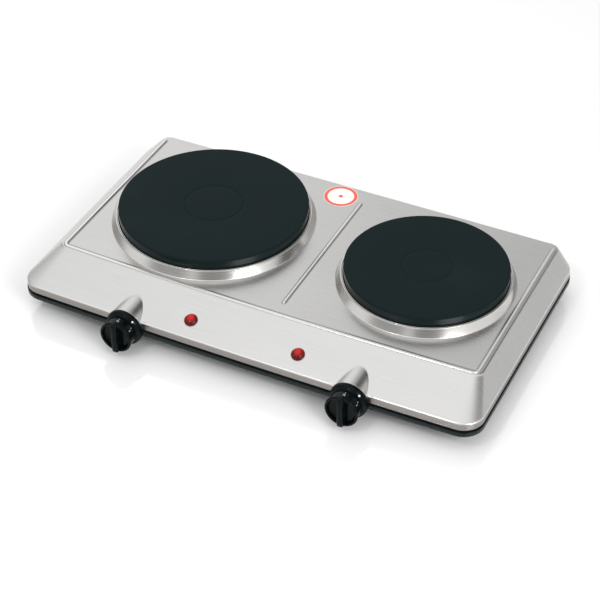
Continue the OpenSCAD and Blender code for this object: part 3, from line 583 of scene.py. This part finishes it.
# lifts the columns near a knob onto a level cylinder about its axis, where that is higher than the slope.
# The two meet in a soft blend, and the foot of the cylinder is pushed out to the front.
def raiseBoss(s, grid, kinds, isFront, axisX):
    hem, crease, radius, blend = s["hemZ"], s["creaseZ"], s["bossR"], s["bossBlend"]
    away, height = grid[..., 0] - axisX, grid[..., 2].copy()

    def archOf(size):
        return knobZ + np.sqrt(np.clip(size ** 2 - away * away, 0, None))

    def lifted(over, under):
        share = np.clip(0.5 + 0.5 * (over - under) / blend, 0, 1)
        return under * (1 - share) + over * share + blend * share * (1 - share) / 2

    near = isFront[None, :] & (np.abs(away) < radius + 3)
    arch = archOf(radius)
    topZ = np.maximum(lifted(arch, np.full_like(arch, crease)), crease)
    lowZ = np.maximum(archOf(radius - s["bossWall"]), hem)
    share = np.clip((height - hem) / (crease - hem), 0, 1)
    onSkirt = np.isin(kinds, ("skirt", "crease"))[:, None] & near
    onSlope = np.isin(kinds, ("slope", "edge"))[:, None] & near & (away ** 2 < radius ** 2)
    height = np.where(onSkirt, lowZ + share * (topZ - lowZ), height)
    height = np.where(onSlope, np.maximum(lifted(arch, height), height), height)
    push = smooth01((topZ - crease - 0.3) / 2.0) * s["bossOut"]
    grid[..., 1] -= np.where(onSkirt, push, 0)
    grid[..., 2] = height


# divider bead between the plates: nested loops that shrink onto its centre line while they rise
def dividerLoops(s):
    middle = ((largeHigh[0] + smallLow[0]) / 2, (largeLow[1] + largeHigh[1]) / 2 - s["dividerBack"])
    angle = np.linspace(0, math.pi, 13)
    loops, paintedLights = [], []
    for t in np.concatenate([[-0.2], np.linspace(0, 0.5, 9)]):
        radius = s["beadW"] * (0.5 - t)
        end = np.stack([radius * np.cos(angle), s["dividerL"] / 2 + radius * np.sin(angle)], 1)
        loop = np.concatenate([end, -end]) + middle
        loops.append(level(loop, s["deckZ"] + s["beadH"] * smooth01(t / 0.34)))
        # painted shade at the divider's foot and a painted highlight on its crown
        paintedLights.append(np.full(len(loop), beadPaintedLight(t, (0,))))
    return np.array(loops), np.array(paintedLights)


# the flat between closed edges, the outer one first, as triangles that face up
def flatFaces(edges):
    points = np.concatenate(edges)
    faces = []
    for face in tessellate_polygon([[Vector(point) for point in edge] for edge in edges]):
        a, b, c = points[list(face)]
        up = np.cross(b - a, c - a)[2]
        if abs(up) > 1e-9:
            faces.append(face if up > 0 else face[::-1])
    return points, faces


# rolled lip round a boss, over the part above the hem
def bossLip(s, side):
    bore, radius, outer = s["lipBore"], s["bossR"], s["lipR"]
    lip = rounded([(bore, 0), (radius, 0), (outer, 0, 0.5), (outer, -0.95, 0.45), (radius, -0.95),
                   (radius - 0.4, -1.8)], 5)
    first = math.asin((s["hemZ"] - knobZ) / (outer + 0.05))
    return turnedFront(lip, 60, (side * knobX, bossFrontY, knobZ), first, math.pi - first, closed=False)


# cover: the rows carried round the outline, the bosses, the divider, the flat and the lips, made one sheet,
# with a map of it laid flat in metres and the painted shade and painted highlights along its beads and crease
def makeCover(s):
    body, bodyWay = outline(s, halfWidth, frontY, rearY, s["cornerR"], s["bow"])
    deck, deckWay = outline(s, halfWidth - s["sideInset"], frontY + s["panelDepth"], deckRearY,
                            s["deckCornerR"], s["deckBow"])
    grid, kinds, paintedLights = coverRows(s, body, bodyWay, deck, deckWay)
    flatMap = grid[..., :2] + bodyWay * (s["deckZ"] - grid[..., 2:])
    for side in sides.values():
        raiseBoss(s, grid, kinds, body[:, 1] < frontY + 1, side * knobX)
    loops, loopPaintedLights = dividerLoops(s)
    shape = Shape()
    shape.grid(grid, closed=True)
    shape.grid(loops, closed=True)
    maps, edges = [flatMap, loops[..., :2]], [grid[-1]]
    for centre, radius in ((largeCentre, largeRadius), (smallCentre, smallRadius)):
        hole = radius - s["holeInset"]
        rim = turned(np.array([[hole, s["deckZ"]], [hole + s["holeRim"], s["deckZ"]]]), s["holeSteps"],
                     (centre[0], centre[1], 0))
        shape.grid(rim, closed=True, flip=True)
        maps.append(rim[..., :2])
        edges.append(rim[1])
    points, faces = flatFaces(edges + [loops[0]])
    shape.add(points, faces)
    maps.append(points[:, :2])
    for side in sides.values():
        lip = bossLip(s, side)
        shape.grid(lip, flip=True)
        maps.append(lip[..., [0, 2]])

    mesh = bpy.data.meshes.new("cover_sheet")
    mesh.from_pydata((np.concatenate(shape.points) * mm).tolist(), [], shape.faces)
    corners = np.zeros(len(mesh.loops), np.int32)
    mesh.loops.foreach_get("vertex_index", corners)
    flatPlaces = np.concatenate([flat.reshape(-1, 2) for flat in maps]) * mm
    mesh.uv_layers.new(name="sheet").data.foreach_set("uv", flatPlaces[corners].ravel())
    marks = np.zeros(shape.count)
    # the painted shade and painted highlights of the rows and the divider; nothing on the rest of the sheet
    marks[:paintedLights.size + loopPaintedLights.size] = np.concatenate([paintedLights.ravel(), loopPaintedLights.ravel()])
    mesh.attributes.new("paintedLight", "FLOAT", "POINT").data.foreach_set("value", marks)
    piece = bpy.data.objects.new("cover_sheet", mesh)
    bpy.context.scene.collection.objects.link(piece)
    tidyMesh(mesh, 2e-6)
    thick = piece.modifiers.new("thickness", "SOLIDIFY")
    thick.thickness = s["sheet"] * mm
    thick.offset = -1
    finishPiece(piece, brushedSheet("cover_steel", coverLook), housing, "top_cover", 60)
    return piece


cover = makeCover(coverShape)
print("cover made:", len(cover.data.polygons), "faces")


# hot plate in mm: its height, the flange round its well, the well's roof below the top, and the turned
# circle on the top, as a share of the radius, with the groove's half width and depth
plateShape = {"height": 13.2, "flange": 5.5, "well": 6.0, "circle": 0.308, "grooveHalf": 0.7,
              "grooveDeep": 0.45, "segments": 256}
plateLook = {"dark": (0.0022, 0.0088, 0.0096), "light": (0.0055, 0.0135, 0.0145), "rough": 0.6,
             "sideRough": 0.2, "specular": 0.1, "topZ": plateTop * mm, "rings": 1500, "grain": 1500,
             "cloud": 14}
# trim ring in mm: the top of its flare, its bore inside the plate's edge, the shelf's height and the sheet
ringShape = {"height": 8.4, "bore": 6.0, "shelf": 3.6, "sheet": 0.8, "segments": 256}
ringLook = {"dark": (0.56, 0.55, 0.53), "light": (0.68, 0.668, 0.645), "rough": 0.2, "rings": 2600,
            "cloud": 26}


# plate: a profile turned round its centre, from the well up the side and in over the top, and the well's
# roof
def makePlate(name, centre, radius, s):
    top, low, flange = plateTop, plateTop - s["height"], radius - s["flange"]
    groove, half = radius * s["circle"], s["grooveHalf"]
    line = rounded([(flange, top - s["well"]), (flange, low, 0.3), (radius, low, 0.8),
                    (radius, top - 0.9, 0.3), (radius - 0.5, top - 0.25, 0.5), (radius - 1.8, top, 1.2),
                    (groove + half, top, 0.15), (groove, top - s["grooveDeep"], 0.2),
                    (groove - half, top, 0.15), (groove * 0.6, top), (groove * 0.25, top), (0.0, top)], 6)
    roof = np.array([[0.001, top - s["well"]], [flange, top - s["well"]]])
    shape = Shape()
    for profile in (line, roof):
        shape.grid(turned(profile, s["segments"], (centre[0], centre[1], 0)), closed=True)
    iron = coatedIron(name + "_plate_iron", centre[:2] * mm, plateLook)
    return shape.build(name + "_plate", iron, housing, name + "_hot_plate", weld=2e-6)


# ring: a closed profile turned round the plate's centre
def makeRing(name, centre, radius, s):
    high, bore, shelf, ledge = s["height"], radius - s["bore"], s["shelf"], s["shelf"] + s["sheet"]
    line = rounded([(bore, -s["sheet"]), (bore + s["sheet"], -s["sheet"]),  # skirt in the cover's hole
                    (bore + s["sheet"], shelf, 0.8), (radius + 1.2, shelf, 0.5),  # underside of the shelf
                    (radius + 1.2, high - 1.0, 0.3), (radius + 2.2, high - 1.2, 0.4),
                    (radius + 5.9, 0.02, 0.4), (radius + 6.9, 0.0),  # inside of the flare
                    (radius + 7.45, 0.0, 0.1), (radius + 7.45, 0.3, 0.12), (radius + 7.0, 0.55, 0.15),  # foot
                    (radius + 3.2, high - 0.9, 0.3), (radius + 2.95, high - 0.1, 0.25),  # its outside
                    (radius + 2.5, high, 0.2), (radius + 1.85, high, 0.3),  # rolled lip
                    (radius + 1.5, high - 0.7, 0.2), (radius + 1.1, high - 0.35, 0.2),  # small groove
                    (radius + 0.4, high - 0.45, 0.4), (radius + 0.4, ledge, 0.6), (bore, ledge, 0.6)], 5)
    loop = np.concatenate([line, line[:1]])
    shape = Shape()
    shape.grid(turned(loop, s["segments"], (centre[0], centre[1], coverShape["deckZ"])), closed=True)
    steel = spunSheet(name + "_ring_steel", centre[:2] * mm, ringLook)
    return shape.build(name + "_ring", steel, housing, name + "_trim_ring", weld=2e-6,
                       smooth=50)


makePlate("large", largeCentre, largeRadius, plateShape)
makePlate("small", smallCentre, smallRadius, plateShape)
makeRing("large", largeCentre, largeRadius, ringShape)
makeRing("small", smallCentre, smallRadius, ringShape)
print("plates and rings made")


# dial collar in mm: its outer radius, its length, the spigot that enters the boss, its bore and its front
# well
collarShape = {"radius": 18.6, "length": collarLength, "spigotR": 15.2, "spigotL": 7.0, "boreR": 3.4,
               "wellR": 12.0, "wellZ": 4.2, "segments": 160}
# knob in mm: the face's radius, the neck behind it and its wall, the depth, the hollow of the face, the gap
# to the collar, the hub and its bore, and the grip bar
knobShape = {"radius": 16.2, "neck": 14.9, "neckLength": 6.6, "wall": 1.6, "depth": 11.4, "dish": 3.8,
             "gap": 0.5, "hubR": 5.4, "boreR": 3.05, "boreL": 9.05, "segments": 160,
             "barW": 6.4, "barOut": 3.2, "barPast": 0.15, "barSink": 0.6, "barSections": 41, "barColumns": 17}


# collar: a closed profile turned round the knob's axis, a spigot behind and a stepped shoulder in front
def makeCollar(side, name, s):
    radius, length, bore, well = s["radius"], s["length"], s["boreR"], s["wellR"]
    line = rounded([(bore, -s["spigotL"]), (s["spigotR"], -s["spigotL"], 0.4), (s["spigotR"], 0),
                    (radius, 0, 0.4), (radius, 1.8, 1.2), (radius - 0.4, 3.8, 1.4), (radius - 1.4, 5.6, 1.4),
                    (radius - 3.0, length - 0.3, 1.0), (radius - 3.9, length, 0.4),
                    (well, length, 0.3), (well, s["wellZ"], 0.5), (bore, s["wellZ"]),
                    (bore, -s["spigotL"])], 7)
    shape = Shape()
    shape.grid(turnedFront(line, s["segments"], (side * knobX, bossFrontY, knobZ)), closed=True)
    return shape.build(f"{name}_collar", finishes["black_plastic"], housing,
                       f"{name}_knob_collar", weld=2e-6, recalc=True)


# grip bar: arched sections along its length, each a rounded box (cosine and sine of the angle to the power
# 0.45). They narrow at the bar's waist, crown towards its middle and close in at its ends.
def addGripBar(shape, s, axis):
    t = np.linspace(-1, 1, s["barSections"])
    angle = np.linspace(0, math.pi, s["barColumns"])
    width = s["barW"] * (0.485 + 0.045 * t * t)
    height = s["depth"] + s["barOut"] - 0.8 * t ** 4
    base = s["depth"] - s["dish"] - s["barSink"]
    taper = np.sqrt(np.clip(1 - np.abs(t) ** 24, 0, 1))
    sideways = np.sign(np.cos(angle)) * np.abs(np.cos(angle)) ** 0.45
    outward = np.sin(angle) ** 0.45
    across = width[:, None] * sideways * (0.3 + 0.7 * taper)[:, None]
    proud = base + (height[:, None] - base) * outward * (0.6 + 0.4 * taper)[:, None]
    along = np.repeat((t * (s["radius"] + s["barPast"]))[:, None], len(angle), 1)
    points = np.stack([axis[0] + across, axis[1] - proud, axis[2] + along], -1)
    shape.grid(points)
    section, count = tuple(range(s["barColumns"])), s["barSections"]
    shape.add(points[0], [section])
    shape.add(points[-1], [section[::-1]])
    sole = [(i, i + 1, count + i + 1, count + i) for i in range(count - 1)]
    shape.add(np.concatenate([points[:, 0], points[:, -1]]), sole)


# knob: a profile turned round its axis, from the bore over the hub and the hollow back to the neck and the
# dished face, with the grip bar across it
def makeKnob(side, name, s):
    radius, depth, neck, hub, bore = s["radius"], s["depth"], s["neck"], s["hubR"], s["boreR"]
    face = depth - s["dish"]
    line = rounded([(0.0, s["boreL"]), (bore, s["boreL"]), (bore, 0.5), (hub, 0.5, 0.3),
                    (hub, face - 1.8, 0.8), (neck - s["wall"], face - 1.8, 0.8),
                    (neck - s["wall"], 0, 0.3), (neck, 0, 0.4), (neck, s["neckLength"], 1.2),
                    (radius - 0.3, depth - 2.6, 0.9), (radius, depth - 1.2, 0.7),
                    (radius - 0.9, depth, 0.9), (radius - 2.3, depth, 0.8), (radius - 3.4, face, 1.6),
                    (8, face - 0.1), (0.0, face - 0.1)], 7)
    axis = (side * knobX, collarFrontY - s["gap"], knobZ)
    shape = Shape()
    shape.grid(turnedFront(line, s["segments"], axis), closed=True)
    addGripBar(shape, s, axis)
    return shape.build(f"{name}_knob_cap", finishes["black_plastic"], f"{name}_control",
                       f"{name}_knob", weld=2e-6, recalc=True)


# dial marks: the numbers 0 to 5 and a tick for each, in mm and degrees, on the side of the knob's neck
markShape = {"wide": 1.5, "high": 2.6, "line": 0.34, "step": 54.0, "first": 90.0, "height": 4.7,
             "tickBase": 1.0, "tick": 1.0, "sink": 0.05, "proud": 0.04}
# the strokes that numbers are drawn with, each from x, y to x, y in a unit box, and the strokes of each
# number
strokeEnds = {"a": (0, 1, 1, 1), "b": (1, 1, 1, 0.5), "c": (1, 0.5, 1, 0), "d": (0, 0, 1, 0),
              "e": (0, 0.5, 0, 0), "f": (0, 1, 0, 0.5), "g": (0, 0.5, 1, 0.5)}
digits = ["abcdef", "bc", "abged", "abgcd", "fgbc", "afgcd"]


# a stroke is a flat bar wound onto the neck: its way along the neck becomes an angle, its height runs to
# the front
def makeMarks(side, name, s):
    shape = Shape()
    neck, rear = knobShape["neck"], collarFrontY - knobShape["gap"]

    def stroke(startX, startY, endX, endY, angle):
        start, end = np.array([startX, startY], float), np.array([endX, endY], float)
        way = (end - start) / np.linalg.norm(end - start) * s["line"] / 2
        across = np.array([-way[1], way[0]])
        start, end = start - way, end + way
        flat = np.array([start - across, end - across, end + across, start + across])
        turn = math.radians(angle) - flat[:, 0] / neck
        bars = [np.stack([side * knobX + radius * np.cos(turn), rear - flat[:, 1],
                          knobZ + radius * np.sin(turn)], 1)
                for radius in (neck - s["sink"], neck + s["proud"])]
        shape.add(np.concatenate(bars), [(0, 1, 2, 3), (7, 6, 5, 4), (0, 4, 5, 1), (1, 5, 6, 2), (2, 6, 7, 3),
                                         (3, 7, 4, 0)])

    low = s["height"] - s["high"] / 2
    for i, letters in enumerate(digits):
        angle = s["first"] - i * s["step"]
        for letter in letters:
            startX, startY, endX, endY = strokeEnds[letter]
            stroke((startX - 0.5) * s["wide"], low + startY * s["high"],
                   (endX - 0.5) * s["wide"], low + endY * s["high"], angle)
        stroke(0, s["tickBase"], 0, s["tickBase"] + s["tick"], angle)
    return shape.build(f"{name}_knob_marks", finishes["white_print"], f"{name}_control",
                       weld=1e-7, recalc=True, smooth=0)


# index dot in mm and degrees: how far round the collar it is and how far it leans to the front, how far in
# from the collar's edge and in front of the boss it stands, and its profile of (radius, height)
indexShape = {"angle": 48, "lean": 50, "inset": 1.35, "forward": 5.4,
              "profile": ((0.0, -0.5), (0.95, -0.5), (0.95, 0.08), (0.6, 0.2), (0.0, 0.24))}


# dot: its profile turned round the way that it faces
def makeIndex(side, name, s):
    angle, lean = math.radians(s["angle"]), math.radians(s["lean"])
    facing = np.array([math.cos(angle) * math.cos(lean), -math.sin(lean), math.sin(angle) * math.cos(lean)])
    first = np.cross(facing, [0, 0, 1.0])
    first /= np.linalg.norm(first)
    second = np.cross(facing, first)
    out = collarShape["radius"] - s["inset"]
    centre = np.array([side * knobX + out * math.cos(angle), bossFrontY - s["forward"],
                       knobZ + out * math.sin(angle)])
    turn = np.linspace(0, 2 * math.pi, 24, endpoint=False)[:, None]
    rows = [centre + facing * height + radius * (np.cos(turn) * first + np.sin(turn) * second)
            for radius, height in s["profile"]]
    shape = Shape()
    shape.grid(np.array(rows), closed=True)
    return shape.build(f"{name}_index_dot", finishes["white_print"], housing, recalc=True)


for name, side in sides.items():
    makeCollar(side, name, collarShape)
    makeKnob(side, name, knobShape)
    makeMarks(side, name, markShape)
    makeIndex(side, name, indexShape)
print("controls made")


# pilot lens in mm: its height above the panel, its barrel and its flange, and the panel's run from the
# crease to the deck, whose slope the lens follows
lensShape = {"height": 4.0, "boreR": 3.4, "boreTop": 1.2, "barrelR": 4.8, "barrelL": 9.0, "flangeR": 6.4,
             "flangeH": 1.0, "lift": 0.02, "panelRun": coverShape["panelDepth"] + 0.3, "segments": 96}
# lens colours from the darker rim to the painted bright middle, the strength of its painted glow, its rays,
# facets and the radii of the bright middle
lensLook = {"dark": (0.035, 0.0006, 0.0006), "light": (0.5, 0.004, 0.004), "glow": 0.3, "rays": 12,
            "facets": 700, "paintedBrightMiddle": 0.0008, "rim": 0.0058}
# heat label: the radii of its ring and dot and the blur of their edges, in metres
labelLook = {"inner": 0.0132, "outer": 0.0165, "dot": 0.0022, "blur": 0.00012, "white": (0.82, 0.81, 0.79),
             "bright": (0.86, 0.85, 0.84), "ink": (0.78, 0.085, 0.035)}


# lens: a domed cap on a hollow barrel, turned round an upright axis and then tilted with the panel. Its
# place comes from the frame's lens, whose points are turned level first.
def makeLens(name, s):
    node = f"{name}_pilot_lens"
    low, high = boxOf(node)
    tilt = math.atan2(coverShape["deckZ"] - coverShape["creaseZ"], s["panelRun"])
    turn = np.array([[1, 0, 0], [0, math.cos(tilt), math.sin(tilt)], [0, -math.sin(tilt), math.cos(tilt)]])
    flat = np.array([vertex.co for vertex in nodes[node].data.vertices]) / mm @ turn.T
    centre = np.array([(low[0] + high[0]) / 2, (flat[:, 1].min() + flat[:, 1].max()) / 2,
                       flat[:, 2].max() - s["height"]])
    line = rounded([(0.0, s["boreTop"]), (s["boreR"], s["boreTop"], 0.4), (s["boreR"], -s["barrelL"]),
                    (s["barrelR"], -s["barrelL"], 0.2), (s["barrelR"], s["lift"]),
                    (s["flangeR"], s["lift"], 0.2), (s["flangeR"], s["flangeH"], 0.4), (5.9, 1.3, 0.3),
                    (5.2, 2.6, 1.0), (3.4, 3.7, 1.4), (0.0, s["height"])], 6)
    shape = Shape()
    shape.grid(turned(line, s["segments"], centre) @ turn, closed=True)
    red = redLens(f"{name}_lens_red", (centre @ turn) * mm, lensLook)
    return shape.build(f"{name}_lens", red, housing, node, weld=2e-6)


# gives one of the frame's own nodes a finish, and leaves its mesh alone
def layFinish(node, finish):
    node.data.materials.clear()
    node.data.materials.append(finish)


for name in sides:
    makeLens(name, lensShape)
labelLow, labelHigh = boxOf("heat_label")
layFinish(nodes["heat_label"], printedLabel("label_film", (labelLow + labelHigh) / 2 * mm, labelLook))
print("lenses and label made")


# pieces with their sharp edges broken, as pressing and moulding leave them: node, width of the rounding in
# mm
softened = {"base_pan": 0.45, "front_left_foot": 0.8, "front_right_foot": 0.8, "rear_left_foot": 0.8,
            "rear_right_foot": 0.8, "cord_gland": 0.5, "mains_terminal_block": 0.4, "left_thermostat": 0.4,
            "right_thermostat": 0.4}
softAngle = 38  # edges sharper than this many degrees are rounded


# a merged copy of the node's mesh, with its sharp edges bevelled
def soften(name, width):
    mesh = nodes[name].data.copy()
    piece = bpy.data.objects.new(name + "_soft", mesh)
    bpy.context.scene.collection.objects.link(piece)
    tidyMesh(mesh, 1e-6)
    slot = next(entry["material_slot"] for entry in subparts if entry["node"] == name)
    bevel = piece.modifiers.new("rounding", "BEVEL")
    bevel.width = width * mm
    bevel.segments = 2
    bevel.limit_method = "ANGLE"
    bevel.angle_limit = math.radians(softAngle)
    finishPiece(piece, finishes[slot], housing, name, softAngle)


for name, width in softened.items():
    soften(name, width)
for entry in subparts:
    slot, node = entry["material_slot"], nodes[entry["node"]]
    if slot in finishes and not node.hide_render:
        layFinish(node, finishes[slot])
print("finishes laid on the frame's nodes")


# floor: half its width in metres, its two whites, and its gloss
floorShape = {"half": 6.0, "dark": (0.86, 0.86, 0.86), "light": (0.9, 0.9, 0.9), "rough": 0.05,
              "specular": 1.0}


def makeFloor(s):
    half = s["half"]
    mesh = bpy.data.meshes.new("floor")
    corners = [(-half, -half, 0), (half, -half, 0), (half, half, 0), (-half, half, 0)]
    mesh.from_pydata(corners, [], [(0, 1, 2, 3)])
    floor = bpy.data.objects.new("floor", mesh)
    bpy.context.scene.collection.objects.link(floor)
    f = Finish("floor_paper")
    cloud = f.noise(f.coords(), 3, 3)
    mesh.materials.append(f.set(colour=f.mix(cloud, s["dark"], s["light"]), rough=s["rough"] + cloud * 0.03,
                                specular=s["specular"]))


# square lamps aimed at the origin: place and width in metres, power in watts
lampShapes = {"key": {"place": (1.5, -0.85, 1.1), "size": 0.8, "power": 16},
              "glint": {"place": (-0.25, -1.1, 1.5), "size": 0.14, "power": 3}}


def makeLamp(name, s):
    data = bpy.data.lights.new(name, "AREA")
    data.shape = "SQUARE"
    data.size = s["size"]
    data.energy = s["power"]
    lamp = bpy.data.objects.new(name, data)
    bpy.context.scene.collection.objects.link(lamp)
    lamp.location = s["place"]
    lamp.rotation_euler = (-Vector(s["place"])).to_track_quat("-Z", "Y").to_euler()


# studio walls: a base level, and soft bright or dark cards, each with the way to it, its half width and its
# soft edge in degrees, and what it adds to the level
worldShape = {
    "base": 1.05,
    "cards": [((-0.12, -0.03, 1.0), 14, 20, 0.42), ((0.32, 0.52, 0.79), 9, 16, -0.76),
              ((-0.62, 0.62, 0.48), 12, 18, 0.25), ((0.1, 0.84, 0.53), 12, 22, -0.42),
              ((-0.35, -0.92, 0.16), 11, 20, -0.6), ((-0.3, -0.7, 0.65), 10, 14, 0.4),
              ((-0.93, 0.12, 0.3), 10, 20, -0.5), ((0.72, 0.68, 0.2), 14, 18, -0.18),
              ((0.44, -0.845, 0.31), 10, 14, -0.75)],
}


def makeWorld(s):
    world = bpy.data.worlds.new("studio")
    bpy.context.scene.world = world
    world.use_nodes = True
    work = NodeWork(world.node_tree)
    way = work.node("TexCoord", output="Generated")
    brightness = work.node("Value")
    brightness.link.default_value = s["base"]
    for direction, half, soft, power in s["cards"]:
        toCard = Vector(direction).normalized()
        near = work.node("VectorMath", {"operation": "DOT_PRODUCT"}, {0: way, 1: toCard}, output="Value")
        edge, full = math.cos(math.radians(half + soft)), math.cos(math.radians(half))
        brightness = brightness + work.step(near, edge, full) * power
    background = world.node_tree.nodes["Background"]
    work.feed(background.inputs["Strength"], brightness)
    background.inputs["Color"].default_value = (1, 1, 1, 1)


makeFloor(floorShape)
makeWorld(worldShape)
for name, lampShape in lampShapes.items():
    makeLamp(name, lampShape)
bpy.context.scene.view_settings.view_transform = "Standard"
print("stage and lights made")
